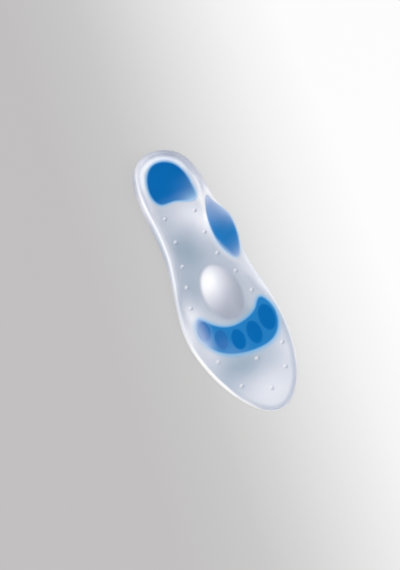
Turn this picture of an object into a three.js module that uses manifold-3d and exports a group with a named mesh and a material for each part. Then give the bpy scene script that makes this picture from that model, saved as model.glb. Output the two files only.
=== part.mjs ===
// Full-length arch support insole for a right foot, in millimetres.
// A clear moulded silicone footbed has a raised heel cup, an arch wing, a metatarsal dome and grip nubs.
// Softer blue silicone fills its pockets: a heel pad, an arch pad, and a band of oval cells under the ball.
// Frame: +Y towards the heel, -Y towards the toes, +X to the inner (medial) side, +Z up, floor at z = 0.
import * as THREE from "three";
import { mergeVertices } from "three/addons/utils/BufferGeometryUtils.js";
import Module from "manifold-3d";

const wasm = await Module();
wasm.setup();

// Fit between a blue piece and its pocket, and how the pocket cutters reach past the surface.
const FIT_GAP = 0.3;
const CUTTER_RISE = 4;

// Corners closer than this are one corner.
const WELD = 1e-4;

// Mesh fineness: samples for each row of an outline, and rings over each stretch of a surface.
const BODY_SAMPLES_PER_ROW = 4;
const PAD_SAMPLES_PER_ROW = 4;
const RIM_LOOKUP_PER_ROW = 16;
const EDGE_RINGS = 3;
const WALL_RINGS = 4;
const FLOOR_RINGS = 5;

// The footbed's rim, one row for each section from the heel to the toes.
// x, y: the widest outline. crest: height of the rim. widest: height at which the edge is widest.
// lip: crest's distance in from the edge. wall: where the inner slope meets the floor.
// inset: distance in to the flat base.
const RIM_COLUMNS = ["x", "y", "crest", "widest", "lip", "wall", "inset"];
const HEEL_BACK = [4.8, 130, 13, 6, 5, 11.5, 4];
const LATERAL_RIM = [
  [-12.6, 124.3, 13, 6, 4.8, 11.5, 4],
  [-22.7, 108.5, 12.5, 5.5, 4.5, 11.5, 4],
  [-26, 84, 11.5, 5, 4.2, 11, 3.5],
  [-26.5, 58, 10, 4.5, 3.8, 10.5, 3],
  [-27.6, 34, 9, 4, 3.5, 10, 3],
  [-31.8, 12, 8, 3.6, 3.2, 9.5, 2.8],
  [-38, -12, 6.8, 3, 2.8, 9, 2.5],
  [-42.6, -40, 5.2, 2.2, 2.5, 8, 2],
  [-40.5, -66, 4.3, 1.8, 2.3, 7, 1.6],
  [-33.2, -91, 3.7, 1.6, 2.1, 6.5, 1.4],
  [-22.6, -111, 3.3, 1.4, 2, 6, 1.3],
  [-10.6, -124.8, 3.1, 1.3, 2, 6, 1.3],
];
const TOE_TIP = [2.5, -130, 3, 1.3, 2, 6, 1.3];
const MEDIAL_RIM = [
  [22, 123.7, 13, 6, 5, 11.5, 4],
  [33, 109, 13, 6, 5, 11.5, 4],
  [36.6, 84, 13.5, 7, 4.8, 12, 4.5],
  [36.4, 59, 17.5, 12, 1.7, 17, 7],
  [41.2, 35.5, 21, 16, 1.2, 22, 11],
  [37.8, 12, 15, 10.5, 1.6, 19, 7.5],
  [39.6, -12, 8, 4, 2.8, 12, 3.5],
  [42.5, -40, 5.4, 2.2, 2.5, 8, 2],
  [41.8, -66, 4.4, 1.8, 2.3, 7, 1.6],
  [36.6, -91, 3.7, 1.6, 2.1, 6.5, 1.4],
  [27.2, -111.5, 3.3, 1.4, 2, 6, 1.3],
  [15.6, -125, 3.1, 1.3, 2, 6, 1.3],
];
// The part of the footbed's rim at each end whose samples all run in to one spine point.
const BODY_END_ROWS = 2.5;

// Thickness of the footbed's floor, which thins from the midfoot to the toes.
const FLOOR = { heelThickness: 5.5, toeThickness: 2.8, thinsFromY: 60, toeY: -130 };

// The metatarsal dome, an oval mound of the footbed itself.
const DOME = { x: 4, y: -16.5, halfLength: 29, halfWidth: 18, height: 6.5, roundness: 1.35 };

// Grip nubs: a row along each side of the midfoot, and a scatter under the toes.
const NUB = { radius: 1.6, height: 1, sides: 6, rings: 4 };
const NUB_PLACES = [
  { x: -10.9, y: 66.7 },
  { x: -11.9, y: 42.6 },
  { x: -16.4, y: 19.4 },
  { x: -21.6, y: 0.5 },
  { x: -26.7, y: -17.9 },
  { x: 16.4, y: 63 },
  { x: 15.1, y: 40.5 },
  { x: 16.6, y: 18 },
  { x: 23.3, y: -4 },
  { x: 28.2, y: -25.5 },
  { x: -26.6, y: -71 },
  { x: 4.5, y: -82.4 },
  { x: 30.4, y: -78.8 },
  { x: 22.9, y: -99.1 },
  { x: -18.1, y: -98.4 },
  { x: 3.8, y: -110.7 },
];

// Blue pieces: outline rows as [x, y] in pairs, so that side A and side B run from one end to the other.
// depth: thickness below the footbed's surface. crown: rise of the middle above it.
// endRows: how many rows at each end run in to one inner point.
// rings: steps from the edge to the inner line.
const HEEL_PAD = {
  depth: 3.2,
  crown: 0.4,
  endRows: 2.5,
  rings: 3,
  start: [5, 119.4],
  sideA: [[-6.2, 113.6], [-11.8, 102.5], [-13.3, 91], [-10.7, 82.2], [-5, 78.9]],
  end: [5, 77.9],
  sideB: [[18.6, 113.3], [24.7, 99.5], [25.4, 87], [23.8, 75.3], [16.5, 73.2]],
};
const ARCH_PAD = {
  depth: 3,
  crown: 0.3,
  endRows: 1,
  rings: 3,
  start: [30.5, 68.6],
  sideA: [[26.3, 62], [22.9, 50.5], [21.3, 38], [21.6, 24.5], [25, 13]],
  end: [30.6, 5.4],
  sideB: [[32.6, 61.5], [36.4, 50.2], [38.9, 40], [38.7, 27], [36, 14.5]],
};
const BAND = {
  depth: 1.7,
  crown: 0,
  endRows: 1,
  rings: 2,
  start: [-25.6, -29.2],
  sideA: [
    [-31.3, -35.7], [-31.7, -48.9], [-23.7, -62.6], [-10.2, -71.6],
    [7, -75.1], [22.6, -73.7], [33.9, -64.9], [38.3, -49.1],
  ],
  end: [33.6, -34.9],
  sideB: [
    [-20.1, -34.1], [-15, -40.1], [-7.8, -45], [1, -47.2],
    [10.1, -46.4], [17.5, -44.1], [23.2, -40.5], [27.4, -35.7],
  ],
};
const CELLS = {
  depth: 2.6,
  crown: 0.35,
  endRows: 0.5,
  rings: 2,
  rows: [
    { x: 28.6, y: -53.1, halfLength: 12.6, halfWidth: 7.5, turn: 8 },
    { x: 12.9, y: -60.5, halfLength: 11, halfWidth: 6.9, turn: 6 },
    { x: -2.2, y: -60.4, halfLength: 9.7, halfWidth: 6.4, turn: 7 },
    { x: -15.4, y: -54.4, halfLength: 9.5, halfWidth: 5.9, turn: 10 },
    { x: -25.6, y: -41.7, halfLength: 9.2, halfWidth: 5.5, turn: 11 },
  ],
};
const CELL_SAMPLES = 20;
// Power that crowds the rings of a blue piece towards its edge, where the heel cup's slope begins.
const EDGE_CROWDING = 1.5;

const clearSilicone = new THREE.MeshStandardMaterial({
  color: 0xd6dde6,
  roughness: 0.3,
  metalness: 0,
  transparent: true,
  opacity: 0.75,
});
const blueSilicone = new THREE.MeshStandardMaterial({ color: 0x2484c8, roughness: 0.35, metalness: 0 });
const deepBlueSilicone = new THREE.MeshStandardMaterial({ color: 0x0d66b0, roughness: 0.35, metalness: 0 });

const mix = (a, b, share) => a + (b - a) * share;
// From 0 at the crest to 1 at the floor: steep below the crest, then a long hollow curve.
const slopeDown = (share) => 1 - (1 - share) ** 3 * (1 + 3 * share);
const clamp01 = (value) => Math.min(1, Math.max(0, value));

// Slopes that give a closed run of values continuous curvature, by repeated sweeps.
function closedSlopes(values) {
  const count = values.length;
  const slopes = new Array(count).fill(0);
  const sweeps = 40;
  for (let sweep = 0; sweep < sweeps; sweep++) {
    for (let i = 0; i < count; i++) {
      const before = (i + count - 1) % count;
      const after = (i + 1) % count;
      slopes[i] = (3 * (values[after] - values[before]) - slopes[before] - slopes[after]) / 4;
    }
  }
  return slopes;
}

// A smooth closed curve through rows of numbers; returns the row at a place u counted in rows.
function closedCurve(rows) {
  const count = rows.length;
  const slopes = rows[0].map((_, column) => closedSlopes(rows.map((row) => row[column])));
  return (u) => {
    const from = Math.floor(u);
    const t = u - from;
    const i = ((from % count) + count) % count;
    const j = (i + 1) % count;
    return rows[i].map((value, column) => {
      const start = slopes[column][i];
      const end = slopes[column][j];
      const rise = rows[j][column] - value;
      return value + t * (start + t * (3 * rise - 2 * start - end + t * (start + end - 2 * rise)));
    });
  };
}

// Samples of a closed curve with the outward normal at each.
function outlineSamples(rows, perRow) {
  const curve = closedCurve(rows);
  const step = 0.01;
  return Array.from({ length: rows.length * perRow }, (_, i) => {
    const u = i / perRow;
    const [x0, y0] = curve(u - step);
    const [x1, y1] = curve(u + step);
    const run = Math.hypot(x1 - x0, y1 - y0);
    return { row: curve(u), nx: (y1 - y0) / run, ny: (x0 - x1) / run };
  });
}

// Inner line of an outline whose two sides pair up; the samples near each end share one point.
function spineOf(points, endSamples) {
  const count = points.length;
  const half = count / 2;
  return points.map((_, i) => {
    const place = Math.min(Math.max(Math.min(i, count - i), endSamples), half - endSamples);
    const a = points[place];
    const b = points[count - place];
    return { x: (a.x + b.x) / 2, y: (a.y + b.y) / 2 };
  });
}

// A closed skin over rings of points, from the underside's spine round the edge to the top's spine.
function skin(rings) {
  const positions = rings.flat().flatMap((p) => [p.x, p.y, p.z]);
  const count = rings[0].length;
  const index = [];
  for (let k = 0; k + 1 < rings.length; k++) {
    for (let i = 0; i < count; i++) {
      const next = (i + 1) % count;
      const [a, b] = [k * count + i, k * count + next];
      const [c, d] = [a + count, b + count];
      index.push(a, b, d, a, d, c);
    }
  }
  const geometry = new THREE.BufferGeometry();
  geometry.setAttribute("position", new THREE.Float32BufferAttribute(positions, 3));
  geometry.setIndex(index);
  return geometry;
}

// The geometry as a solid, with shared vertices merged and collapsed triangles dropped.
function solidOf(geometry) {
  const bare = geometry.clone();
  bare.deleteAttribute("normal");
  bare.deleteAttribute("uv");
  const merged = mergeVertices(bare, WELD);
  const corners = merged.index.array;
  const triVerts = [];
  for (let i = 0; i < corners.length; i += 3) {
    const [a, b, c] = corners.slice(i, i + 3);
    if (a !== b && b !== c && c !== a) triVerts.push(a, b, c);
  }
  return new wasm.Manifold(new wasm.Mesh({
    numProp: 3,
    vertProperties: merged.attributes.position.array,
    triVerts: new Uint32Array(triVerts),
  }));
}

function meshOf(name, solid, material) {
  const made = solid.getMesh();
  const geometry = new THREE.BufferGeometry();
  geometry.setAttribute("position", new THREE.BufferAttribute(made.vertProperties, made.numProp));
  geometry.setIndex(new THREE.BufferAttribute(made.triVerts, 1));
  geometry.computeVertexNormals();
  const mesh = new THREE.Mesh(geometry, material);
  mesh.name = name;
  return mesh;
}

// The rim as a closed run of rows: heel back, down the outer side, toe tip, and up the inner side.
const RIM_ROWS = [HEEL_BACK, ...LATERAL_RIM, TOE_TIP, ...MEDIAL_RIM.toReversed()];
const rimFields = (row) => Object.fromEntries(RIM_COLUMNS.map((name, column) => [name, row[column]]));
const rimLookup = outlineSamples(RIM_ROWS, RIM_LOOKUP_PER_ROW).map((sample) => sample.row);

// The rim's row nearest to a place, with its distance in from the edge.
function nearestRim(x, y) {
  const found = { distance: Infinity, row: null };
  rimLookup.forEach((a, i) => {
    const b = rimLookup[(i + 1) % rimLookup.length];
    const [dx, dy] = [b[0] - a[0], b[1] - a[1]];
    const t = clamp01(((x - a[0]) * dx + (y - a[1]) * dy) / (dx * dx + dy * dy));
    const distance = Math.hypot(x - a[0] - dx * t, y - a[1] - dy * t);
    if (distance < found.distance) {
      found.distance = distance;
      found.row = a.map((value, column) => mix(value, b[column], t));
    }
  });
  return { distance: found.distance, ...rimFields(found.row) };
}

function floorHeight(y) {
  const share = clamp01((y - FLOOR.toeY) / (FLOOR.thinsFromY - FLOOR.toeY));
  return mix(FLOOR.toeThickness, FLOOR.heelThickness, Math.sin((share * Math.PI) / 2));
}

function domeHeight(x, y) {
  const reach = Math.hypot((x - DOME.x) / DOME.halfWidth, (y - DOME.y) / DOME.halfLength);
  return reach < 1 ? DOME.height * (1 - reach * reach) ** DOME.roundness : 0;
}

// Height of the moulded upper surface: rounded lip, inner slope, then the floor with its dome.
function profileHeight(rim, distance, x, y) {
  const floor = floorHeight(y);
  if (distance < rim.lip) {
    const across = (rim.lip - distance) / rim.lip;
    return rim.widest + (rim.crest - rim.widest) * Math.sqrt(1 - across * across);
  }
  const down = slopeDown(clamp01((distance - rim.lip) / (rim.wall - rim.lip)));
  return mix(rim.crest, floor, down) + domeHeight(x, y) * down;
}

function topHeight(x, y) {
  const rim = nearestRim(x, y);
  return profileHeight(rim, rim.distance, x, y);
}

// The clear footbed before its pockets: flat base, round outer edge, lip, slope and floor.
function footbedSkin() {
  const samples = outlineSamples(RIM_ROWS, BODY_SAMPLES_PER_ROW);
  const rims = samples.map((sample) => ({ ...rimFields(sample.row), nx: sample.nx, ny: sample.ny }));
  const spine = spineOf(rims, BODY_END_ROWS * BODY_SAMPLES_PER_ROW);
  const inward = (rim, distance) => ({ x: rim.x - rim.nx * distance, y: rim.y - rim.ny * distance });
  const rings = [spine.map((p) => ({ ...p, z: 0 }))];
  for (let k = 0; k <= EDGE_RINGS; k++) {
    const turn = (k / EDGE_RINGS) * (Math.PI / 2);
    rings.push(rims.map((rim) => ({
      ...inward(rim, rim.inset * (1 - Math.sin(turn))),
      z: rim.widest * (1 - Math.cos(turn)),
    })));
  }
  for (let k = 1; k <= EDGE_RINGS; k++) {
    const turn = (k / EDGE_RINGS) * (Math.PI / 2);
    rings.push(rims.map((rim) => ({
      ...inward(rim, rim.lip * (1 - Math.cos(turn))),
      z: mix(rim.widest, rim.crest, Math.sin(turn)),
    })));
  }
  for (let k = 1; k <= WALL_RINGS; k++) {
    rings.push(rims.map((rim) => {
      const distance = mix(rim.lip, rim.wall, k / WALL_RINGS);
      const p = inward(rim, distance);
      return { ...p, z: profileHeight(rim, distance, p.x, p.y) };
    }));
  }
  const wallFoot = rings.at(-1);
  for (let k = 1; k <= FLOOR_RINGS; k++) {
    rings.push(wallFoot.map((foot, i) => {
      const x = mix(foot.x, spine[i].x, k / FLOOR_RINGS);
      const y = mix(foot.y, spine[i].y, k / FLOOR_RINGS);
      return { x, y, z: floorHeight(y) + domeHeight(x, y) };
    }));
  }
  return skin(rings);
}

// A blue piece over its outline, following the footbed's surface; grow and rise make it a pocket cutter.
function padSkin(outline, { depth, crown, endRows, rings }, grow = 0, rise = 0) {
  const edge = outline.map((sample) => ({ x: sample.row[0], y: sample.row[1] }));
  const spine = spineOf(edge, endRows * PAD_SAMPLES_PER_ROW);
  const ringAt = (share, height) => edge.map((p, i) => {
    const x = mix(p.x, spine[i].x, share);
    const y = mix(p.y, spine[i].y, share);
    const outX = x + outline[i].nx * grow * (1 - share);
    const outY = y + outline[i].ny * grow * (1 - share);
    return { x: outX, y: outY, z: Math.min(topHeight(x, y), topHeight(outX, outY)) + height };
  });
  const shares = Array.from({ length: rings + 1 }, (_, k) => (k / rings) ** EDGE_CROWDING);
  const under = shares.toReversed().map((share) => ringAt(share, -depth - grow));
  const over = shares.map((share) => ringAt(share, rise + crown * (1 - (1 - share) ** 2)));
  return skin([...under, ...over]);
}

const pairedOutline = (pad) =>
  outlineSamples([pad.start, ...pad.sideA, pad.end, ...pad.sideB.toReversed()], PAD_SAMPLES_PER_ROW);

function ovalOutline({ x, y, halfLength, halfWidth, turn }) {
  const lean = THREE.MathUtils.degToRad(turn);
  const [sin, cos] = [Math.sin(lean), Math.cos(lean)];
  const turned = (along, across) => [along * sin + across * cos, along * cos - across * sin];
  return Array.from({ length: CELL_SAMPLES }, (_, i) => {
    const angle = (i / CELL_SAMPLES) * 2 * Math.PI;
    const [px, py] = turned(halfLength * Math.cos(angle), -halfWidth * Math.sin(angle));
    const [normalAlong, normalAcross] = [Math.cos(angle) / halfLength, -Math.sin(angle) / halfWidth];
    const run = Math.hypot(normalAlong, normalAcross);
    const [nx, ny] = turned(normalAlong / run, normalAcross / run);
    return { row: [x + px, y + py], nx, ny };
  });
}

const padSolid = (outline, pad) => solidOf(padSkin(outline, pad));
const pocketSolid = (outline, pad) => solidOf(padSkin(outline, pad, FIT_GAP, CUTTER_RISE));

function nubSolid({ x, y }) {
  const ball = new THREE.SphereGeometry(NUB.radius, NUB.sides, NUB.rings);
  ball.rotateX(Math.PI / 2);
  ball.scale(1, 1, NUB.height / NUB.radius);
  ball.translate(x, y, topHeight(x, y));
  return solidOf(ball);
}

const heelOutline = pairedOutline(HEEL_PAD);
const archOutline = pairedOutline(ARCH_PAD);
const bandOutline = pairedOutline(BAND);
const cellOutlines = CELLS.rows.map(ovalOutline);
const cellPockets = cellOutlines.map((outline) => pocketSolid(outline, CELLS));

let footbed = solidOf(footbedSkin());
for (const place of NUB_PLACES) footbed = footbed.add(nubSolid(place));
footbed = footbed.subtract(pocketSolid(heelOutline, HEEL_PAD));
footbed = footbed.subtract(pocketSolid(archOutline, ARCH_PAD));
footbed = footbed.subtract(pocketSolid(bandOutline, BAND));
for (const pocket of cellPockets) footbed = footbed.subtract(pocket);

let band = padSolid(bandOutline, BAND);
for (const pocket of cellPockets) band = band.subtract(pocket);

const insole = new THREE.Group();
insole.add(meshOf("footbed", footbed, clearSilicone));
insole.add(meshOf("heel_pad", padSolid(heelOutline, HEEL_PAD), deepBlueSilicone));
insole.add(meshOf("arch_pad", padSolid(archOutline, ARCH_PAD), deepBlueSilicone));
insole.add(meshOf("metatarsal_band", band, blueSilicone));
cellOutlines.forEach((outline, i) => {
  insole.add(meshOf(`metatarsal_cell_${i + 1}`, padSolid(outline, CELLS), deepBlueSilicone));
});

export default insole;
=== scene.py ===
# Looks of a clear silicone arch support insole with soft blue pads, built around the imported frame.
# The tables and shapes are in millimetres, and MM turns them into metres when a mesh is made.
# Frame: +Y towards the heel, -Y towards the toes, +X to the inner (medial) side, +Z up, floor at z = 0.
import math

import bpy
import numpy as np
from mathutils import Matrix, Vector
from mathutils.geometry import delaunay_2d_cdt


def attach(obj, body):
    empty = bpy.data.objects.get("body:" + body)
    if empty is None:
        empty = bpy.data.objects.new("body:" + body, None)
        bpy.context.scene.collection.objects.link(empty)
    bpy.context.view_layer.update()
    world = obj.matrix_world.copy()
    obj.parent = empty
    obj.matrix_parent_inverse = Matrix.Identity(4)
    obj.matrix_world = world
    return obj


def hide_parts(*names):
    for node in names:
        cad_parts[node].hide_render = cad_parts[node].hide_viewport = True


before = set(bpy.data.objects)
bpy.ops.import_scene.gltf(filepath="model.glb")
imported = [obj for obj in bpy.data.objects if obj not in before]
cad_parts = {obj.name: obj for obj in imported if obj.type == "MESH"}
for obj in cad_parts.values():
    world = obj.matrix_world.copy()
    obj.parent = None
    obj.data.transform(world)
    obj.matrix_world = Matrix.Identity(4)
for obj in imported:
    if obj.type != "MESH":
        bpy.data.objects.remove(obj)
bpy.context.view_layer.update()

MM = 0.001

# The footbed's rim, one row for each section from the heel to the toes.
# x, y: the widest outline. crest: height of the rim. widest: height at which the edge is widest.
# lip: crest's distance in from the edge. wall: where the inner slope meets the floor.
# inset: distance in to the flat base.
RIM_COLUMNS = ("x", "y", "crest", "widest", "lip", "wall", "inset")
HEEL_BACK = (4.8, 130, 13, 6, 5, 11.5, 4)
LATERAL_RIM = (
    (-12.6, 124.3, 13, 6, 4.8, 11.5, 4),
    (-22.7, 108.5, 12.5, 5.5, 4.5, 11.5, 4),
    (-26, 84, 11.5, 5, 4.2, 11, 3.5),
    (-26.5, 58, 10, 4.5, 3.8, 10.5, 3),
    (-27.6, 34, 9, 4, 3.5, 10, 3),
    (-31.8, 12, 8, 3.6, 3.2, 9.5, 2.8),
    (-38, -12, 6.8, 3, 2.8, 9, 2.5),
    (-42.6, -40, 5.2, 2.2, 2.5, 8, 2),
    (-40.5, -66, 4.3, 1.8, 2.3, 7, 1.6),
    (-33.2, -91, 3.7, 1.6, 2.1, 6.5, 1.4),
    (-22.6, -111, 3.3, 1.4, 2, 6, 1.3),
    (-10.6, -124.8, 3.1, 1.3, 2, 6, 1.3),
)
TOE_TIP = (2.5, -130, 3, 1.3, 2, 6, 1.3)
MEDIAL_RIM = (
    (22, 123.7, 13, 6, 5, 11.5, 4),
    (33, 109, 13, 6, 5, 11.5, 4),
    (36.6, 84, 13.5, 7, 4.8, 12, 4.5),
    (36.4, 59, 17.5, 12, 1.7, 17, 7),
    (41.2, 35.5, 21, 16, 1.2, 22, 11),
    (37.8, 12, 15, 10.5, 1.6, 19, 7.5),
    (39.6, -12, 8, 4, 2.8, 12, 3.5),
    (42.5, -40, 5.4, 2.2, 2.5, 8, 2),
    (41.8, -66, 4.4, 1.8, 2.3, 7, 1.6),
    (36.6, -91, 3.7, 1.6, 2.1, 6.5, 1.4),
    (27.2, -111.5, 3.3, 1.4, 2, 6, 1.3),
    (15.6, -125, 3.1, 1.3, 2, 6, 1.3),
)

# Thickness of the footbed's floor, which thins from the midfoot to the toes.
FLOOR_HEEL = 5.5
FLOOR_TOE = 2.8
FLOOR_THINS_FROM_Y = 60
FLOOR_TOE_Y = -130

# The metatarsal dome, an oval mound of the footbed itself.
DOME_CENTRE = (4, -16.5)
DOME_HALF_WIDTH = 18
DOME_HALF_LENGTH = 29
DOME_HEIGHT = 6.5
DOME_ROUNDNESS = 1.35

# Grip nubs: a row along each side of the midfoot, and a scatter under the toes.
NUB_RADIUS = 1.6
NUB_HEIGHT = 1
NUB_ROUNDNESS = 0.8
NUB_PLACES = (
    (-10.9, 66.7), (-11.9, 42.6), (-16.4, 19.4), (-21.6, 0.5), (-26.7, -17.9),
    (16.4, 63), (15.1, 40.5), (16.6, 18), (23.3, -4), (28.2, -25.5),
    (-26.6, -71), (4.5, -82.4), (30.4, -78.8), (22.9, -99.1), (-18.1, -98.4), (3.8, -110.7),
)

# Blue pieces: outlines through a start, side A, an end and side B, each side listed from start to end.
# depth: thickness below the footbed's surface. crown: rise of the middle above it.
PADS = {
    "heel_pad": dict(
        depth=3.2, crown=0.4, start=(5, 119.4), end=(5, 77.9),
        side_a=((-6.2, 113.6), (-11.8, 102.5), (-13.3, 91), (-10.7, 82.2), (-5, 78.9)),
        side_b=((18.6, 113.3), (24.7, 99.5), (25.4, 87), (23.8, 75.3), (16.5, 73.2)),
    ),
    "arch_pad": dict(
        depth=3.0, crown=0.3, start=(30.5, 68.6), end=(30.6, 5.4),
        side_a=((26.3, 62), (22.9, 50.5), (21.3, 38), (21.6, 24.5), (25, 13)),
        side_b=((32.6, 61.5), (36.4, 50.2), (38.9, 40), (38.7, 27), (36, 14.5)),
    ),
    "metatarsal_band": dict(
        depth=1.7, crown=0.0, start=(-25.6, -29.2), end=(33.6, -34.9),
        side_a=(
            (-31.3, -35.7), (-31.7, -48.9), (-23.7, -62.6), (-10.2, -71.6),
            (7, -75.1), (22.6, -73.7), (33.9, -64.9), (38.3, -49.1),
        ),
        side_b=(
            (-20.1, -34.1), (-15, -40.1), (-7.8, -45), (1, -47.2),
            (10.1, -46.4), (17.5, -44.1), (23.2, -40.5), (27.4, -35.7),
        ),
    ),
}
# The crown rises within this distance of a piece's edge. A thin seam parts each piece from its pocket.
CROWN_WITHIN = 6
SEAM = 0.03
# Oval cells inside the band: x, y, half-length, half-width, and lean in degrees from +Y towards +X.
CELL_DEPTH = 2.6
CELL_CROWN = 0.35
CELLS = (
    (28.6, -53.1, 12.6, 7.5, 8),
    (12.9, -60.5, 11, 6.9, 6),
    (-2.2, -60.4, 9.7, 6.4, 7),
    (-15.4, -54.4, 9.5, 5.9, 10),
    (-25.6, -41.7, 9.2, 5.5, 11),
)

# Mesh fineness. BORDER_STEPS: rows of points along the blue outlines, in towards the piece where negative.
# BORDER_CLEAR: how near an outline the other points are kept apart from those rows.
# KEEP_CLEAR: the least gap between points. NUB_SKIRT: rings around each nub's foot, in nub radii.
RIM_SAMPLES_PER_ROW = 20
PAD_SAMPLES_PER_ROW = 16
CELL_SAMPLES = 72
EDGE_RINGS = 9
WALL_RINGS = 14
FLOOR_SPACING = 1.3
BORDER_STEPS = (-1.6, -0.8, 0.8, 1.7, 2.8)
BORDER_CLEAR = 3.4
KEEP_CLEAR = 0.5
NUB_RINGS = 5
NUB_RING_SAMPLES = 20
NUB_SKIRT = (1.25, 1.6)
SHARP_ANGLE = math.radians(55)

# About how many points are measured at a time, and two settings of the triangulation.
# ALL_TRIANGLES: it keeps every triangle. WELD: the distance within which it joins points.
CHUNK = 1000
ALL_TRIANGLES = 0
WELD = 1e-7


def ease(share):
    """From 0 to 1 with a smooth start and end."""
    share = np.clip(share, 0, 1)
    return share * share * (3 - 2 * share)


def rising(value, start, length):
    """0 up to a start, then easing to 1 over a length, which is negative to rise the other way."""
    return ease((value - start) / length)


def falling(value, start, length):
    """1 at a start, then dying away over a length, which is negative to fall the other way."""
    return np.exp((start - value) / length)


def slope_down(share):
    """From 0 at the crest to 1 at the floor: steep below the crest, then a long hollow curve."""
    share = np.clip(share, 0, 1)
    return 1 - (1 - share) ** 3 * (1 + 3 * share)


def closed_curve(rows):
    """A smooth closed curve through rows of numbers, as a function of a place counted in rows."""
    rows = np.asarray(rows, float)
    count = len(rows)
    unit = np.eye(count)
    system = 4 * unit + np.roll(unit, 1, 0) + np.roll(unit, -1, 0)
    slopes = np.linalg.solve(system, 3 * (np.roll(rows, -1, 0) - np.roll(rows, 1, 0)))

    def at(place):
        whole = np.floor(place).astype(int)
        t = (place - whole)[:, None]
        i, j = whole % count, (whole + 1) % count
        rise = rows[j] - rows[i]
        start, end = slopes[i], slopes[j]
        return rows[i] + t * (start + t * (3 * rise - 2 * start - end + t * (start + end - 2 * rise)))

    return at


def outline(rows, per_row):
    """Samples of a closed curve through rows, and the outward normal at each."""
    curve = closed_curve(rows)
    place = np.arange(len(rows) * per_row) / per_row
    step = 0.01
    along = curve(place + step)[:, :2] - curve(place - step)[:, :2]
    along /= np.linalg.norm(along, axis=1, keepdims=True)
    return curve(place), np.stack([along[:, 1], -along[:, 0]], 1)


RIM_ROWS = (HEEL_BACK, *LATERAL_RIM, TOE_TIP, *reversed(MEDIAL_RIM))
RIM, RIM_NORMALS = outline(RIM_ROWS, RIM_SAMPLES_PER_ROW)
rim_fields = dict(zip(RIM_COLUMNS, RIM.T))


def rim_table(rows):
    """A table of rim rows as samples, each easing from row to row."""
    rows = np.asarray(rows, float)
    after = np.roll(rows, -1, 0)
    share = ease(np.arange(RIM_SAMPLES_PER_ROW) / RIM_SAMPLES_PER_ROW)[:, None]
    return np.concatenate([low + (high - low) * share for low, high in zip(rows, after)])


def inward(distance):
    """The rim's outline moved in by a distance for each sample."""
    return RIM[:, :2] - RIM_NORMALS * np.reshape(distance, (-1, 1))


def distance_to_loop(points, loop):
    """Each point's distance to a closed run of places, the nearest stretch, and the share along it."""
    run = np.roll(loop, -1, 0) - loop
    parts = []
    for some in np.array_split(points, max(1, len(points) // CHUNK)):
        offset = some[:, None] - loop
        share = np.clip((offset * run).sum(2) / (run * run).sum(1), 0, 1)
        gap = np.linalg.norm(offset - share[..., None] * run, axis=2)
        nearest = gap.argmin(1)
        row = np.arange(len(some))
        parts.append((gap[row, nearest], nearest, share[row, nearest]))
    return [np.concatenate(column) for column in zip(*parts)]


def nearest_rim(points, samples=RIM, columns=RIM_COLUMNS):
    """Distance in from the rim's outline, and a rim table's columns at the nearest place."""
    distance, nearest, share = distance_to_loop(points, RIM[:, :2])
    after = (nearest + 1) % len(RIM)
    rows = samples[nearest] + (samples[after] - samples[nearest]) * share[:, None]
    return distance, dict(zip(columns, rows.T))


def floor_height(y):
    """Height of the footbed's bare floor."""
    share = np.clip((y - FLOOR_TOE_Y) / (FLOOR_THINS_FROM_Y - FLOOR_TOE_Y), 0, 1)
    return FLOOR_TOE + (FLOOR_HEEL - FLOOR_TOE) * np.sin(share * math.pi / 2)


def dome_share(points):
    """1 at the dome's top, falling to 0 at its edge."""
    reach = (points - DOME_CENTRE) / (DOME_HALF_WIDTH, DOME_HALF_LENGTH)
    return np.clip(1 - (reach * reach).sum(1), 0, 1) ** DOME_ROUNDNESS


def nub_height(points):
    """Rise of the nubs above the floor."""
    total = np.zeros(len(points))
    for place in NUB_PLACES:
        reach = np.linalg.norm(points - place, axis=1) / NUB_RADIUS
        total += NUB_HEIGHT * np.clip(1 - reach * reach, 0, 1) ** NUB_ROUNDNESS
    return total


def top_height(points):
    """Height of the moulded top inside the crest: inner slope, then the floor with dome and nubs."""
    distance, rim = nearest_rim(points)
    down = slope_down((distance - rim["lip"]) / (rim["wall"] - rim["lip"]))
    floor = floor_height(points[:, 1])
    mounds = DOME_HEIGHT * dome_share(points) + nub_height(points)
    return rim["crest"] + (floor - rim["crest"]) * down + mounds * down


def inside(points, loop):
    """True for each point inside a closed run of places."""
    after = np.roll(loop, -1, 0)
    answer = np.zeros(len(points), bool)
    for (x0, y0), (x1, y1) in zip(loop, after):
        if y0 == y1:
            continue
        crosses = (y0 > points[:, 1]) != (y1 > points[:, 1])
        answer ^= crosses & (points[:, 0] < x0 + (points[:, 1] - y0) * (x1 - x0) / (y1 - y0))
    return answer


def oval(x, y, half_length, half_width, turn):
    """An oval's samples and outward normals."""
    angle = np.arange(CELL_SAMPLES) / CELL_SAMPLES * 2 * math.pi
    lean = math.radians(turn)
    axes = np.array([[math.sin(lean), math.cos(lean)], [math.cos(lean), -math.sin(lean)]])
    places = np.stack([half_length * np.cos(angle), -half_width * np.sin(angle)], 1) @ axes
    normals = np.stack([np.cos(angle) / half_length, -np.sin(angle) / half_width], 1) @ axes
    return places + (x, y), normals / np.linalg.norm(normals, axis=1, keepdims=True)


# Regions of the plan, one for each blue piece. A later one lies inside an earlier one, or apart from it.
regions = []
for pad_name, pad in PADS.items():
    rows = (pad["start"], *pad["side_a"], pad["end"], *reversed(pad["side_b"]))
    places, normals = outline(rows, PAD_SAMPLES_PER_ROW)
    regions.append(dict(name=pad_name, loop=places, normals=normals, depth=pad["depth"], crown=pad["crown"]))
for number, cell in enumerate(CELLS, 1):
    places, normals = oval(*cell)
    cell_name = f"metatarsal_cell_{number}"
    regions.append(dict(name=cell_name, loop=places, normals=normals, depth=CELL_DEPTH, crown=CELL_CROWN))

crest_loop = inward(rim_fields["lip"])


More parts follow.
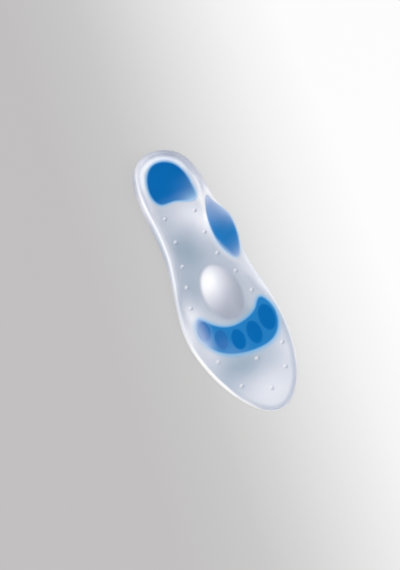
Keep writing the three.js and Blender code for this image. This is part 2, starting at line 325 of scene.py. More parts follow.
def gap_to_blue(points):
    """Distance to the nearest outline of a blue piece."""
    return np.min([distance_to_loop(points, region["loop"])[0] for region in regions], axis=0)


def floor_points():
    """An even spread of points inside the foot of the inner slope."""
    low, high = RIM[:, :2].min(0), RIM[:, :2].max(0)
    row_step = FLOOR_SPACING * math.sqrt(3) / 2
    rows = []
    for k, y in enumerate(np.arange(low[1], high[1], row_step)):
        x = np.arange(low[0] + FLOOR_SPACING / 2 * (k % 2), high[0], FLOOR_SPACING)
        rows.append(np.stack([x, np.full(len(x), y)], 1))
    points = np.concatenate(rows)
    points = points[inside(points, crest_loop)]
    distance, rim = nearest_rim(points)
    return points[distance > rim["wall"] + KEEP_CLEAR]


def border_points():
    """Rows of points along both sides of every blue outline, where the colours change fast."""
    kept = np.empty((0, 2))
    for step in BORDER_STEPS:
        for region in regions:
            points = region["loop"] + region["normals"] * step
            points = points[inside(points, crest_loop)]
            points = points[distance_to_loop(points, crest_loop)[0] > KEEP_CLEAR]
            points = points[gap_to_blue(points) > KEEP_CLEAR]
            if len(kept):
                apart = np.linalg.norm(points[:, None] - kept, axis=2).min(1)
                points = points[apart > KEEP_CLEAR]
            kept = np.concatenate([kept, points])
    return kept


def inner_points():
    """Points inside the crest: rings down the inner slope, the floor, the blue borders and the nubs."""
    reach = rim_fields["wall"] - rim_fields["lip"]
    slope = [inward(rim_fields["lip"] + reach * k / WALL_RINGS) for k in range(1, WALL_RINGS + 1)]
    points = np.concatenate([*slope, floor_points()])
    border = border_points()
    points = points[gap_to_blue(points) > KEEP_CLEAR]
    near = gap_to_blue(points) < BORDER_CLEAR
    apart = np.full(len(points), BORDER_CLEAR)
    apart[near] = np.linalg.norm(points[near][:, None] - border, axis=2).min(1)
    points = np.concatenate([points[apart > KEEP_CLEAR], border])
    angle = np.arange(NUB_RING_SAMPLES) / NUB_RING_SAMPLES * 2 * math.pi
    circle = np.stack([np.cos(angle), np.sin(angle)], 1) * NUB_RADIUS
    sizes = [math.sin(k / NUB_RINGS * math.pi / 2) for k in range(1, NUB_RINGS + 1)]
    rings = np.concatenate([circle * size for size in (*sizes, *NUB_SKIRT)])
    for place in NUB_PLACES:
        apart = np.linalg.norm(points - place, axis=1)
        points = points[apart > NUB_RADIUS * NUB_SKIRT[-1] + KEEP_CLEAR]
        points = np.concatenate([points, [place], rings + place])
    return points


def plan_mesh():
    """One triangulation of the plan inside the crest that keeps every outline as edges."""
    loops = [crest_loop] + [region["loop"] for region in regions]
    edges, first = [], 0
    for loop in loops:
        index = first + np.arange(len(loop))
        edges += zip(index.tolist(), np.roll(index, -1).tolist())
        first += len(loop)
    spots = np.concatenate([*loops, inner_points()])
    result = delaunay_2d_cdt([Vector(spot) for spot in spots], edges, [], ALL_TRIANGLES, WELD)
    places = np.array([tuple(place) for place in result[0]])
    triangles = np.array(result[2])
    source = np.array([origin[0] if origin else -1 for origin in result[3]])
    triangles = triangles[inside(places[triangles].mean(1), crest_loop)]
    middle = places[triangles].mean(1)
    owner = np.zeros(len(triangles), int)
    for number, region in enumerate(regions, 1):
        owner[inside(middle, region["loop"])] = number
    return places, triangles, owner, source


plan, plan_triangles, plan_owner, plan_source = plan_mesh()
plan_top = top_height(plan)
plan_gap = gap_to_blue(plan)
loop_starts = np.cumsum([len(crest_loop)] + [len(region["loop"]) for region in regions])


def directed_edges(triangles):
    """Each edge of each triangle, as a pair of corners in its direction, with the triangle's number."""
    return {(int(t[k]), int(t[(k + 1) % 3])): n for n, t in enumerate(triangles) for k in range(3)}


def build_piece(name, places, faces, fields, material, node):
    """A smooth mesh object that stands for a CAD node; fields are per-point numbers for the material."""
    mesh = bpy.data.meshes.new(name)
    mesh.from_pydata((np.asarray(places) * MM).tolist(), [], faces)
    for field, values in fields.items():
        layer = mesh.attributes.new(field, "FLOAT", "POINT")
        layer.data.foreach_set("value", np.asarray(values, np.float32))
    mesh.polygons.foreach_set("use_smooth", [True] * len(mesh.polygons))
    mesh.set_sharp_from_angle(angle=SHARP_ANGLE)
    mesh.materials.append(material)
    piece = bpy.data.objects.new(name, mesh)
    bpy.context.scene.collection.objects.link(piece)
    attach(piece, "root")
    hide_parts(node)
    return piece


# Colours, written as they look under the studio light, which is brighter than 1 on a flat face.
STUDIO_LEVEL = 1.08


def linear(red, green, blue):
    """A linear surface colour from display values, of which 255 is white."""
    share = np.array([red, green, blue]) / 255
    value = np.where(share <= 0.04045, share / 12.92, ((share + 0.055) / 1.055) ** 2.4)
    return (*(value / STUDIO_LEVEL).tolist(), 1.0)


# The clear gel by its tone, from dark to light, which mostly holds painted light and shade: plain, where it
# looks lilac, and where a pad's blue light is painted into it.
TONE_STOPS = (
    (0.0, linear(144, 166, 183)),
    (0.25, linear(178, 189, 203)),
    (0.5, linear(207, 211, 221)),
    (0.75, linear(230, 232, 239)),
    (0.9, linear(246, 247, 251)),
    (1.0, linear(260, 260, 262)),
)
LILAC_STOPS = (
    (0.0, linear(163, 168, 183)),
    (0.25, linear(186, 190, 203)),
    (0.5, linear(210, 212, 222)),
    (0.75, linear(231, 232, 239)),
    (0.9, linear(246, 247, 251)),
    (1.0, linear(260, 260, 262)),
)
HALO_STOPS = (
    (0.2, linear(130, 176, 212)),
    (0.5, linear(150, 193, 230)),
    (1.0, linear(176, 211, 245)),
)

# The blue pieces: core colours, border colours and the colours that they wash out to, on the arch pad's upper
# end a painted reflection.
HEEL_WASH_COLOUR = linear(178, 213, 242)
WASH_COLOUR = linear(194, 209, 237)
DEEP_COLOUR = linear(0, 102, 174)
ARCH_COLOUR = linear(6, 121, 193)
MID_COLOUR = linear(34, 124, 190)
BORDER_COLOUR = linear(126, 182, 226)
ARCH_BORDER_COLOUR = linear(150, 182, 218)

# The stage's floor: colours from its dark side to its light side, a painted fall-off of light, the direction
# in which they change, where they start and end in metres, and the share that glows by itself, which keeps
# shadows faint.
STAGE_STOPS = (
    (0.0, linear(193, 191, 192)),
    (0.18, linear(198, 197, 197)),
    (0.26, linear(201, 200, 200)),
    (0.4, linear(211, 211, 211)),
    (0.5, linear(220, 220, 220)),
    (0.65, linear(232, 232, 232)),
    (0.784, linear(242, 242, 242)),
    (1.0, linear(252, 252, 252)),
)
STAGE_ACROSS = (0.9905, -0.1375, 0)
STAGE_FADE = (-0.1, 0.15)
STAGE_GLOW = 0.83
BLACK = (0, 0, 0, 1)

# Noise as scale and detail, and the range that it is mapped to.
GLOSS_NOISE = (90, 3)
CLEAR_ROUGHNESS = (0.28, 0.34)
BLUE_ROUGHNESS = (0.32, 0.42)
PEEL_NOISE = (700, 2)
PEEL_STRENGTH = 0.2
CLEAR_PEEL = 0.00003
BLUE_PEEL = 0.00002
CLEAR_NOISE = (45, 3)
CLEAR_NOISE_RANGE = (-0.05, 0.05)
BLUE_NOISE = (60, 3)
BLUE_NOISE_RANGE = (0.94, 1.06)
SILICONE_IOR = 1.41

# Sockets of a Mix node that mixes colours.
MIX_SHARE = 0
MIX_FIRST = 6
MIX_SECOND = 7
MIX_RESULT = 2


# Materials
def new_material(name):
    """A material with its node tree and its shader."""
    material = bpy.data.materials.new(name)
    material.use_nodes = True
    tree = material.node_tree
    shader = tree.nodes["Principled BSDF"]
    return material, tree, shader


def add_node(tree, kind, links=(), **values):
    """A node with its settings; links are (input, source socket) pairs."""
    made = tree.nodes.new(kind)
    for key, value in values.items():
        setattr(made, key, value)
    for socket, source in links:
        tree.links.new(source, made.inputs[socket])
    return made


def attribute(tree, name):
    """A per-point number of the mesh."""
    return add_node(tree, "ShaderNodeAttribute", attribute_name=name).outputs["Fac"]


def mix_colour(tree, share, first, second, blend="MIX"):
    """A mix of two colours; each value is a socket or a constant."""
    made = add_node(tree, "ShaderNodeMix", data_type="RGBA", blend_type=blend)
    for socket, value in ((MIX_SHARE, share), (MIX_FIRST, first), (MIX_SECOND, second)):
        if isinstance(value, bpy.types.NodeSocket):
            tree.links.new(value, made.inputs[socket])
        else:
            made.inputs[socket].default_value = value
    return made.outputs[MIX_RESULT]


def colour_ramp(tree, share, stops):
    """Colours along a share of 0 to 1; stops are (place, colour) pairs."""
    made = add_node(tree, "ShaderNodeValToRGB", [("Fac", share)])
    steps = made.color_ramp.elements
    steps[0].position, steps[0].color = stops[0]
    steps[1].position, steps[1].color = stops[-1]
    for place, colour in stops[1:-1]:
        steps.new(place).color = colour
    return made.outputs["Color"]


def noise(tree, scale, detail):
    """Smooth noise that stays fixed to the object."""
    made = add_node(tree, "ShaderNodeTexNoise")
    made.inputs["Scale"].default_value = scale
    made.inputs["Detail"].default_value = detail
    tree.links.new(add_node(tree, "ShaderNodeTexCoord").outputs["Object"], made.inputs["Vector"])
    return made.outputs["Fac"]


def map_range(tree, source, low, high):
    """A value of 0 to 1 mapped to a range."""
    made = add_node(tree, "ShaderNodeMapRange", [("Value", source)])
    made.inputs["To Min"].default_value = low
    made.inputs["To Max"].default_value = high
    return made.outputs["Result"]


def surface_grain(tree, shader, roughness, height):
    """Slightly uneven gloss, and the faint orange peel of moulded silicone."""
    gloss = map_range(tree, noise(tree, *GLOSS_NOISE), *roughness)
    tree.links.new(gloss, shader.inputs["Roughness"])
    bump = add_node(tree, "ShaderNodeBump", [("Height", noise(tree, *PEEL_NOISE))])
    bump.inputs["Strength"].default_value = PEEL_STRENGTH
    bump.inputs["Distance"].default_value = height
    tree.links.new(bump.outputs["Normal"], shader.inputs["Normal"])


def clear_silicone():
    """Milky gel with painted light and shade: grey-blue or lilac where it looks thin and in painted shade,
    white where light gathers and in painted highlights, sky blue in a painted glow by the pads.
    """
    material, tree, shader = new_material("clear_silicone")
    cloud = map_range(tree, noise(tree, *CLEAR_NOISE), *CLEAR_NOISE_RANGE)
    tone = add_node(tree, "ShaderNodeMath", [(0, attribute(tree, "tone")), (1, cloud)], operation="ADD")
    cool = colour_ramp(tree, tone.outputs[0], TONE_STOPS)
    lilac = colour_ramp(tree, tone.outputs[0], LILAC_STOPS)
    body = mix_colour(tree, attribute(tree, "lilac"), cool, lilac)
    halo = colour_ramp(tree, tone.outputs[0], HALO_STOPS)
    body = mix_colour(tree, attribute(tree, "halo"), body, halo)
    tree.links.new(body, shader.inputs["Base Color"])
    surface_grain(tree, shader, CLEAR_ROUGHNESS, CLEAR_PEEL)
    shader.inputs["IOR"].default_value = SILICONE_IOR
    shader.inputs["Specular IOR Level"].default_value = 0.3
    shader.inputs["Coat Weight"].default_value = 0.15
    shader.inputs["Coat Roughness"].default_value = 0.15
    tree.links.new(attribute(tree, "depth"), shader.inputs["Subsurface Weight"])
    shader.inputs["Subsurface Radius"].default_value = (1.0, 1.0, 1.0)
    shader.inputs["Subsurface Scale"].default_value = 0.008
    return material


def blue_silicone(name, core, border, wash):
    """Blue gel: its core colour, softening to a border colour at the edge and washing out to a paler one."""
    material, tree, shader = new_material(name)
    colour = mix_colour(tree, attribute(tree, "edge"), border, core)
    colour = mix_colour(tree, attribute(tree, "wash"), colour, wash)
    cloud = map_range(tree, noise(tree, *BLUE_NOISE), *BLUE_NOISE_RANGE)
    colour = mix_colour(tree, 1.0, colour, cloud, "MULTIPLY")
    tree.links.new(colour, shader.inputs["Base Color"])
    surface_grain(tree, shader, BLUE_ROUGHNESS, BLUE_PEEL)
    shader.inputs["IOR"].default_value = SILICONE_IOR
    shader.inputs["Specular IOR Level"].default_value = 0.06
    return material


CLEAR = clear_silicone()
HEEL_BLUE = blue_silicone("deep_blue_heel", DEEP_COLOUR, BORDER_COLOUR, HEEL_WASH_COLOUR)
ARCH_BLUE = blue_silicone("deep_blue_arch", ARCH_COLOUR, ARCH_BORDER_COLOUR, WASH_COLOUR)
BAND_BLUE = blue_silicone("blue_band", MID_COLOUR, BORDER_COLOUR, WASH_COLOUR)
CELL_BLUE = blue_silicone("deep_blue_cell", DEEP_COLOUR, MID_COLOUR, WASH_COLOUR)

# How the rim looks, one row for each row of its shape, as painted light and shade: its tones stand for how
# light falls on each side. Tones go from 0, grey-blue, to 1, white.
# edge: tone at the outline. shoulder: tone just outside the white line, a painted highlight along the crest.
# line: strength of that line.
# line_at: its distance in. inner: tone just inside it. reach: how far in that tone fades into the floor.
# ring: strength of the white ring at the foot of the heel cup's wall, a painted glow of light through the
# gel. ring_width: how wide it is.
LOOK_COLUMNS = ("edge", "shoulder", "line", "line_at", "inner", "reach", "ring", "ring_width")
HEEL_BACK_LOOK = (0.41, 0.32, 0, 5, 0.2, 12, 1, 1.8)
LATERAL_LOOK = (
    (0.34, 0.58, 0.3, 3, 0.44, 12, 1, 2.4),
    (0.38, 0.28, 0.5, 3.8, 0.4, 12, 1, 3),
    (0.6, 0.74, 0.75, 3.7, 0.36, 9, 0.5, 3),
    (0.36, 0.45, 0.62, 4, 0.7, 13, 0, 3),
    (0.34, 0.46, 0.62, 3.3, 0.65, 13, 0, 3),
    (0.47, 0.52, 0.58, 2.8, 0.5, 11, 0, 3),
    (0.56, 0.48, 0.42, 2, 0.28, 8, 0, 3),
    (0.92, 0.55, 0.22, 1.9, 0.7, 16, 0, 3),
    (0.95, 1, 1, 1.6, 0.46, 14, 0, 3),
    (0.95, 1, 1, 1.6, 0.28, 8, 0, 3),
    (1, 0.74, 0.5, 0.7, 0.3, 6, 0, 3),
    (1, 0.18, 0, 0.7, 0.2, 6, 0, 3),
)
TOE_TIP_LOOK = (0.74, 0.1, 0, 0.7, 0.18, 6, 0, 3)
MEDIAL_LOOK = (
    (0.27, -0.1, 0, 8, 0, 11, 1, 1.8),
    (0.31, 0.08, 0, 7.5, 0.1, 11, 1, 2),
    (0.45, 0.28, 1, 7, 0.78, 16, 0.3, 2),
    (0.82, 0.84, 0.4, 10.5, 0.85, 16, 0, 3),
    (0.6, 0.65, 0, 1.5, 0.6, 12, 0, 3),
    (0.6, 0.55, 0, 7, 0.6, 14, 0, 3),
    (0.62, 0.62, 0, 6, 0.62, 10, 0, 3),
    (0.76, 0.7, 0, 2.4, 0.5, 8, 0, 3),
    (0.7, 0.48, 0, 2, 0.28, 8, 0, 3),
    (0.72, 0.4, 0, 1.6, 0.28, 7, 0, 3),
    (0.38, 0.07, 0, 0.7, 0.17, 5.5, 0, 3),
    (0.32, 0.04, 0, 0.7, 0.16, 5.5, 0, 3),
)
RIM_LOOK = rim_table((HEEL_BACK_LOOK, *LATERAL_LOOK, TOE_TIP_LOOK, *reversed(MEDIAL_LOOK)))

# The painted glow of the heel ring: its distance in; the painted highlight line's width; and the tone of
# both.
RING_AT = 8.4
LINE_WIDTH = 1.0
WHITE = 1.05

# Painted light and shade on the gel's floor: lighter patches for reflected light, darker ones for shade: x,
# y, half-width, half-length, change of tone.
FLOOR_TONE = 0.38
PAINTED_PATCHES = (
    (11, 64, 16, 14, 0.24),
    (20, 48, 10, 16, 0.37),
    (-9, 36, 13, 14, -0.19),
    (-4, 21, 14, 15, -0.16),
    (-18, 0, 9, 16, -0.14),
    (33, -3, 6, 8, 0.25),
    # A painted shadow below the dome's lower side.
    (10, -43, 13, 7, -0.2),
    (-31, -26, 10, 14, 0.4),
    (-32, -62, 9, 14, 0.18),
    (4, -114, 25, 20, 0.27),
    (34, -86, 12, 20, 0.2),
    (-9, -83, 22, 12, -0.24),
)
# The same painted light for the rim, where the heel cup runs into the arch wing.
RIM_PAINTED_PATCHES = ((29.5, 71.5, 5, 6, 0.3),)
# A painted glow: a lighter tone all round the arch pad.
ARCH_GLOW = 0.3
ARCH_GLOW_REACH = 3

# The dome's painted highlight: the directions across and along it, its middle, and how far it reaches both
# ways.
# DOME_TONES: the painted shade and highlight tones. DOME_EDGE: the share of the dome's rise over which they
# set in.
SHINE_ACROSS = (0.898, -0.44)
SHINE_ALONG = (0.44, 0.898)
SHINE_CENTRE = (-3.2, -2.8)
SHINE_REACH = (17.4, 26)
DOME_TONES = (0.03, 0.99)
DOME_EDGE = 0.2

# The nubs' painted light and shade: their lit side, how lit their middle is, and how much that changes over a
# nub's radius.
# NUB_TONES: the painted shade and highlight tones. NUB_SHARE: their strength. NUB_FADE: where they fade out,
# in nub radii.
# This pair and the pairs below are a start and a length, for rising and falling.
LIGHT_SIDE = (-0.63, 0.78)
NUB_MIDDLE_LIT = 0.5
NUB_CONTRAST = 0.6
NUB_TONES = (0.02, 0.94)
NUB_SHARE = 0.68
NUB_FADE = (0.8, 0.8)

# The heel cup's rim, the edge at the toes, the dome and the nubs look lilac rather than blue.
# Y pairs: where along the foot. RIM pairs: how far in from the outline.
LILAC_HEEL_Y = (60, 20)
LILAC_HEEL_RIM = (9, -3)
LILAC_TOE = 0.8
LILAC_TOE_Y = (-60, -20)
LILAC_TOE_RIM = (5, -3)
LILAC_NUB_RISE = (0, NUB_HEIGHT / 4)

# How far the painted glow of blue light from each pad reaches into the gel around it.
# The band's glow spreads further towards the toes, and loses strength at its outer end.
# The arch pad's glow ends towards the heel, and is stronger away from the rim.
HALO_REACH = {"heel_pad": 1.3, "arch_pad": 1.5, "metatarsal_band": 1.9}
BAND_SPREAD = 0.7
BAND_SPREAD_Y = (-62, -8)
BAND_END_LOSS = 0.5
BAND_END_X = (-16, -14)
BAND_END_Y = (-66, 14)
ARCH_HALO = 0.5
ARCH_HALO_GAIN = 0.3
ARCH_HALO_RIM = (7, 6)
ARCH_HALO_ENDS_Y = (38, 20)

# Light soaks into the gel away from the pads, where nothing dark lies under it.
DEPTH_GAP = (0.5, 6)


def gap_to_pad(points, name):
    """Distance to the outline of one blue piece."""
    region = next(region for region in regions if region["name"] == name)
    return distance_to_loop(points, region["loop"])[0]


def painted_patch_sum(points, patches):
    """The changes of tone that soft oval patches of painted light and shade make at each point."""
    total = np.zeros(len(points))
    for x, y, half_width, half_length, change in patches:
        reach = (points - (x, y)) / (half_width, half_length)
        total += change * np.exp(-(reach * reach).sum(1))
    return total


def tone_field(points, under):
    """Lightness of the clear gel, mostly painted light and shade: patches on the floor, rim, white highlight
    line, glowing heel ring, dome and nubs.
    """
    distance, look = nearest_rim(points, RIM_LOOK, LOOK_COLUMNS)
    distance = np.where(under, 0, distance)
    floor = FLOOR_TONE + painted_patch_sum(points, PAINTED_PATCHES)
    floor += ARCH_GLOW * np.exp(-((gap_to_pad(points, "arch_pad") / ARCH_GLOW_REACH) ** 2))
    past_line = distance - look["line_at"]
    inner = look["inner"] + (floor - look["inner"]) * ease(past_line / (look["reach"] - look["line_at"]))
    outer = look["edge"] + (look["shoulder"] - look["edge"]) * ease(distance / look["line_at"])
    tone = outer + (inner - outer) * ease(past_line / LINE_WIDTH + 0.5)
    tone += painted_patch_sum(points, RIM_PAINTED_PATCHES) * ~under
    ring = look["ring"] * np.exp(-(((distance - RING_AT) / look["ring_width"]) ** 2))
    line = look["line"] * np.exp(-((past_line / LINE_WIDTH) ** 2))
    for strength in (ring, line):
        tone += (WHITE - tone) * strength * ~under
    offset = points - SHINE_CENTRE
    across = offset @ SHINE_ACROSS / SHINE_REACH[0]
    along = offset @ SHINE_ALONG / SHINE_REACH[1]
    dark, light = DOME_TONES
    dome = dark + (light - dark) * np.exp(-across * across - along * along)
    tone += (dome - tone) * ease(dome_share(points) / DOME_EDGE) * ~under
    dark, light = NUB_TONES
    for place in NUB_PLACES:
        offset = (points - place) / NUB_RADIUS
        reach = np.linalg.norm(offset, axis=1)
        share = NUB_SHARE * (1 - rising(reach, *NUB_FADE))
        lit = ease(NUB_MIDDLE_LIT + NUB_CONTRAST * (offset @ LIGHT_SIDE))
        tone += (dark + (light - dark) * lit - tone) * share * ~under
    return tone


def lilac_field(points, under):
    """Where the clear gel looks lilac: the heel cup's rim, the toe edge, the dome and the nubs."""
    y = points[:, 1]
    distance = np.where(under, 0, nearest_rim(points)[0])
    heel = rising(y, *LILAC_HEEL_Y) * rising(distance, *LILAC_HEEL_RIM)
    toe = LILAC_TOE * rising(y, *LILAC_TOE_Y) * rising(distance, *LILAC_TOE_RIM)
    dome = ease(dome_share(points) / DOME_EDGE)
    nubs = rising(nub_height(points), *LILAC_NUB_RISE)
    return np.maximum.reduce([heel, toe, dome, nubs])


def band_fade(points):
    """0 over most of the band, rising to 1 at its outer end, where the blue fades into the clear gel."""
    x, y = points.T
    return rising(x, *BAND_END_X) * rising(y, *BAND_END_Y)


def halo_field(points, under):
    """How blue the clear gel looks beside the pads, a painted glow of the pads' blue light."""
    halo = np.zeros(len(points))
    y = points[:, 1]
    distance = nearest_rim(points)[0]
    for name, reach in HALO_REACH.items():
        strength = 1.0
        if name == "metatarsal_band":
            reach = reach + BAND_SPREAD * rising(y, *BAND_SPREAD_Y)
            strength = 1 - BAND_END_LOSS * band_fade(points)
        if name == "arch_pad":
            strength = ARCH_HALO + ARCH_HALO_GAIN * rising(distance, *ARCH_HALO_RIM)
            strength *= 1 - rising(y, *ARCH_HALO_ENDS_Y)
        halo = np.maximum(halo, strength * np.exp(-((gap_to_pad(points, name) / reach) ** 2)))
    return halo * ~under


# Pieces
def build_footbed():
    """The clear body: moulded top with pockets for the blue pieces, round edge and flat base."""
    depths = [0.0] + [region["depth"] + SEAM for region in regions]
    level = np.full((len(depths), len(plan)), -1)
    places, faces, points = [], [], []
    for number, depth in enumerate(depths):
        triangles = plan_triangles[plan_owner == number]
        used = np.unique(triangles)
        level[number, used] = len(points) + np.arange(len(used))
        points += used.tolist()
        places += np.column_stack([plan[used], plan_top[used] - depth]).tolist()
        faces += level[number, triangles].tolist()
    edges = directed_edges(plan_triangles)
    for (a, b), n in edges.items():
        other = edges.get((b, a))
        if other is not None and plan_owner[n] < plan_owner[other]:
            upper, lower = level[plan_owner[n]], level[plan_owner[other]]
            faces.append([int(upper[b]), int(upper[a]), int(lower[a]), int(lower[b])])
    count = len(RIM)
    crest_index = np.full(count, -1)
    for k, origin in enumerate(plan_source):
        if 0 <= origin < count:
            crest_index[origin] = level[0, k]
    rings = [crest_index.tolist()]
    turns = [k / EDGE_RINGS * math.pi / 2 for k in range(EDGE_RINGS - 1, -1, -1)]
    lip, inset, crest, widest = (rim_fields[name] for name in ("lip", "inset", "crest", "widest"))
    edge_rows = [(lip * (1 - math.cos(t)), widest + (crest - widest) * math.sin(t), False) for t in turns]
    edge_rows += [(inset * (1 - math.sin(t)), widest * (1 - math.cos(t)), True) for t in turns]
    flats, unders = [plan[points]], [np.zeros(len(points), bool)]
    for distance, height, under in edge_rows:
        flat = inward(distance)
        rings.append((len(places) + np.arange(count)).tolist())
        places += np.column_stack([flat, height]).tolist()
        flats.append(flat)
        unders.append(np.full(count, under))
    for upper, lower in zip(rings, rings[1:]):
        for i in range(count):
            j = (i + 1) % count
            faces.append([upper[i], lower[i], lower[j], upper[j]])
    faces.append(rings[-1][::-1])
    flat, under = np.concatenate(flats), np.concatenate(unders)
    fields = {
        "tone": tone_field(flat, under),
        "lilac": lilac_field(flat, under),
        "halo": halo_field(flat, under),
        "depth": rising(gap_to_blue(flat), *DEPTH_GAP),
    }
    build_piece("footbed_gel", places, faces, fields, CLEAR, "footbed")


def build_pad(number, material, look):
    """A blue piece: crowned top, flat walls just clear of its pocket, and a bottom parallel to the top."""
    region = regions[number - 1]
    triangles = plan_triangles[plan_owner == number]
    used = np.unique(triangles)
    local = np.full(len(plan), -1)
    local[used] = np.arange(len(used))
    flat = plan[used].copy()
    for k, point in enumerate(used):
        origin = plan_source[point]
        owner = int(np.searchsorted(loop_starts, origin, side="right"))
        if origin >= loop_starts[0] and owner <= len(regions):
            normal = regions[owner - 1]["normals"][origin - loop_starts[owner - 1]]
            flat[k] += normal * (SEAM if owner != number else -SEAM)
    top = plan_top[used] + region["crown"] * ease(plan_gap[used] / CROWN_WITHIN)
    bottom = plan_top[used] - region["depth"]
    places = np.concatenate([np.column_stack([flat, top]), np.column_stack([flat, bottom])])
    count = len(used)
    faces = local[triangles].tolist() + (local[triangles][:, ::-1] + count).tolist()
    edges = directed_edges(local[triangles])
    for a, b in edges:
        if (b, a) not in edges:
            faces.append([b, a, a + count, b + count])
    own_gap = distance_to_loop(plan[used], region["loop"])[0]
    edge, wash = look(plan[used], own_gap)
    fields = {"edge": np.tile(edge, 2), "wash": np.tile(wash, 2)}
    piece = build_piece(region["name"] + "_gel", places, faces, fields, material, region["name"])


# How the blue pieces look. SOFT: width of the soft edge. WASH: strength of a wash towards a paler colour.
# LATERAL_EDGE: extra width of the heel pad's border on its lateral side. SOFTER: extra softness.
# The pairs are a start and a length, along x or y, or in from the rim's outline (IN).
# The band's END_EDGE is counted in from its own edge.
HEEL_SOFT = 1.3
HEEL_LATERAL_EDGE = 0.2
HEEL_LATERAL_X = (0, -8)
HEEL_TOE_WASH = 0.52
HEEL_TOE_Y = (75, 4.8)
HEEL_TOE_X = (-2, 22)
HEEL_INNER_WASH = 0.12
HEEL_INNER_X = (24, -4.5)
HEEL_INNER_Y = (104, -18)
HEEL_LOW_WASH = 0.06
HEEL_LOW_Y = (88, -8)

ARCH_SOFT = 1.2
ARCH_SOFTER = 2
ARCH_SOFTER_Y = (36, -16)
ARCH_SOFTER_IN = (8, 5)
# The arch pad's upper end is paler, a painted reflection of light on its slope.
ARCH_UPPER_REFLECTION = 0.3
ARCH_UPPER_Y = (36, 28)
ARCH_TOP_REFLECTION = 0.42
ARCH_TOP_Y = (58, 11)
ARCH_TIP_WASH = 0.78
ARCH_TIP_Y = (5.4, 6)
ARCH_RIM_WASH = 0.66
ARCH_RIM_IN = (2.3, 5.5)
ARCH_RIM_Y = (24, 23)

BAND_SOFT = 1.4
BAND_TOE_WASH = 0.1
BAND_TOE_Y = (-54, -16)
BAND_TOE_X = (8, -20)
BAND_END_WASH = 0.42
BAND_END_EDGE_WASH = 0.5
BAND_END_EDGE = (0, 2.5)

CELL_SOFT = 1.3
CELL_4_X = (-7, -6)
CELL_4_WASH = 0.03
CELL_4_TOE_WASH = 0.05
CELL_4_TOE_Y = (-48, -14)
CELL_5_WASH = 0.39
CELL_5_X = (-19, -10)
CELL_5_END_WASH = 0.15
CELL_5_END_X = (-26, -4)


def heel_look(points, gap):
    """The heel pad washes out towards its inner toe corner."""
    x, y = points.T
    wash = HEEL_TOE_WASH * falling(y, *HEEL_TOE_Y) * rising(x, *HEEL_TOE_X)
    wash += HEEL_INNER_WASH * falling(x, *HEEL_INNER_X) * rising(y, *HEEL_INNER_Y)
    wash += HEEL_LOW_WASH * rising(y, *HEEL_LOW_Y)
    edge = gap - HEEL_LATERAL_EDGE * rising(x, *HEEL_LATERAL_X)
    return ease(edge / HEEL_SOFT), wash


def arch_look(points, gap):
    """The arch pad washes out at both ends and along the rim, its upper end as a painted reflection; its toe
    end is softest, away from the rim.
    """
    y = points[:, 1]
    distance = nearest_rim(points)[0]
    wash = ARCH_UPPER_REFLECTION * rising(y, *ARCH_UPPER_Y) + ARCH_TOP_REFLECTION * rising(y, *ARCH_TOP_Y)
    wash += ARCH_TIP_WASH * falling(y, *ARCH_TIP_Y)
    wash += ARCH_RIM_WASH * falling(distance, *ARCH_RIM_IN) * rising(y, *ARCH_RIM_Y)
    softness = ARCH_SOFT + ARCH_SOFTER * rising(y, *ARCH_SOFTER_Y) * rising(distance, *ARCH_SOFTER_IN)
    return ease(gap / softness), np.clip(wash, 0, 1)


def band_look(points, gap):
    """The band washes out a little on its toe side, and most at its outer end."""
    x, y = points.T
    fade = band_fade(points)
    wash = fade * (BAND_END_WASH + BAND_END_EDGE_WASH * falling(gap, *BAND_END_EDGE))
    wash += BAND_TOE_WASH * rising(y, *BAND_TOE_Y) * rising(x, *BAND_TOE_X)
    return ease(gap / BAND_SOFT), wash


def cell_look(points, gap):
    """The outer two cells wash out, the last one most."""
    x, y = points.T
    wash = rising(x, *CELL_4_X) * (CELL_4_WASH + CELL_4_TOE_WASH * rising(y, *CELL_4_TOE_Y))
    wash += CELL_5_WASH * rising(x, *CELL_5_X) + CELL_5_END_WASH * rising(x, *CELL_5_END_X)
    return ease(gap / CELL_SOFT), wash


build_footbed()
build_pad(1, HEEL_BLUE, heel_look)
build_pad(2, ARCH_BLUE, arch_look)
build_pad(3, BAND_BLUE, band_look)
for number in range(len(PADS) + 1, len(regions) + 1):
    build_pad(number, CELL_BLUE, cell_look)


# Stage: camera at the photograph's angle, a pale floor and soft light, in metres and degrees
CAMERA_TARGET = Vector((-0.00943, -0.0005, 0))
CAMERA_AZIMUTH = -26.07
CAMERA_ELEVATION = 70
CAMERA_DISTANCE = 1.1
CAMERA_LENS = 80
STAGE_HALF = 3.0
STAGE_Z = -0.0003
WORLD_STRENGTH = 0.74
# Name, azimuth, elevation, distance, size and power.
LIGHTS = (
    ("key", -140, 55, 1.5, 1.5, 4.5),
    ("fill", 40, 40, 1.5, 1.2, 8),
    ("side", -75, 25, 1.5, 1.2, 2.5),
)


def direction(azimuth, elevation):
    """Unit vector towards a place seen from the object; azimuth 0 is the toe side, 90 the inner side."""
    turn, rise = math.radians(azimuth), math.radians(elevation)
    return Vector((math.sin(turn) * math.cos(rise), -math.cos(turn) * math.cos(rise), math.sin(rise)))


def aim(thing, place, target):
    """Puts a camera or a lamp at a place, facing a target."""
    thing.location = place
    thing.rotation_euler = (target - place).to_track_quat("-Z", "Y").to_euler()


def build_camera():
    """The camera that looks at the insole as the photograph does."""
    camera = bpy.data.objects.new("camera", bpy.data.cameras.new("camera"))
    camera.data.lens = CAMERA_LENS
    place = CAMERA_TARGET + direction(CAMERA_AZIMUTH, CAMERA_ELEVATION) * CAMERA_DISTANCE
    aim(camera, place, CAMERA_TARGET)
    bpy.context.scene.collection.objects.link(camera)
    bpy.context.scene.camera = camera


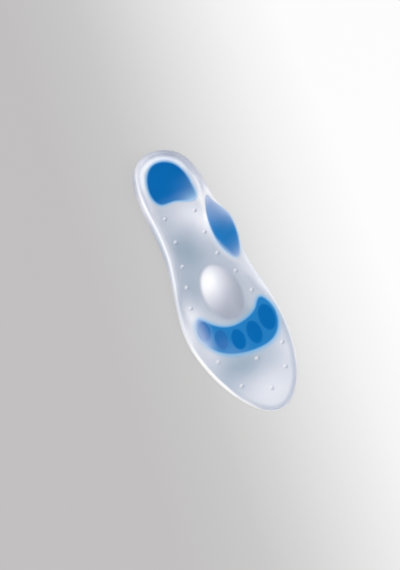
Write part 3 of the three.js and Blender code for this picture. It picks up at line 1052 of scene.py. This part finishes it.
def build_floor():
    """A wide floor just below the insole, which turns from grey to white, a painted fall-off of light."""
    mesh = bpy.data.meshes.new("floor")
    signs = ((-1, -1), (1, -1), (1, 1), (-1, 1))
    corners = [(x * STAGE_HALF, y * STAGE_HALF, STAGE_Z) for x, y in signs]
    mesh.from_pydata(corners, [], [(0, 1, 2, 3)])
    material, tree, shader = new_material("floor")
    place = add_node(tree, "ShaderNodeTexCoord").outputs["Object"]
    across = add_node(tree, "ShaderNodeVectorMath", [(0, place)], operation="DOT_PRODUCT")
    across.inputs[1].default_value = STAGE_ACROSS
    share = add_node(tree, "ShaderNodeMapRange", [("Value", across.outputs["Value"])])
    share.inputs["From Min"].default_value = STAGE_FADE[0]
    share.inputs["From Max"].default_value = STAGE_FADE[1]
    colour = colour_ramp(tree, share.outputs["Result"], STAGE_STOPS)
    tree.links.new(mix_colour(tree, STAGE_GLOW, colour, BLACK), shader.inputs["Base Color"])
    tree.links.new(colour, shader.inputs["Emission Color"])
    shader.inputs["Emission Strength"].default_value = STAGE_GLOW * STUDIO_LEVEL
    shader.inputs["Roughness"].default_value = 0.9
    shader.inputs["Specular IOR Level"].default_value = 0.1
    mesh.materials.append(material)
    floor = bpy.data.objects.new("floor", mesh)
    bpy.context.scene.collection.objects.link(floor)


def build_light(name, azimuth, elevation, distance, size, power):
    """A round soft lamp that faces the insole."""
    lamp = bpy.data.lights.new(name, "AREA")
    lamp.shape = "DISK"
    lamp.size = size
    lamp.energy = power
    thing = bpy.data.objects.new(name, lamp)
    aim(thing, direction(azimuth, elevation) * distance, Vector((0, 0, 0)))
    bpy.context.scene.collection.objects.link(thing)


def build_world(strength):
    """Even white light from all sides."""
    world = bpy.data.worlds.new("studio")
    bpy.context.scene.world = world
    world.use_nodes = True
    world.node_tree.nodes["Background"].inputs["Color"].default_value = (1, 1, 1, 1)
    world.node_tree.nodes["Background"].inputs["Strength"].default_value = strength


build_camera()
build_floor()
build_world(WORLD_STRENGTH)
for light in LIGHTS:
    build_light(*light)
bpy.context.scene.view_settings.view_transform = "Standard"
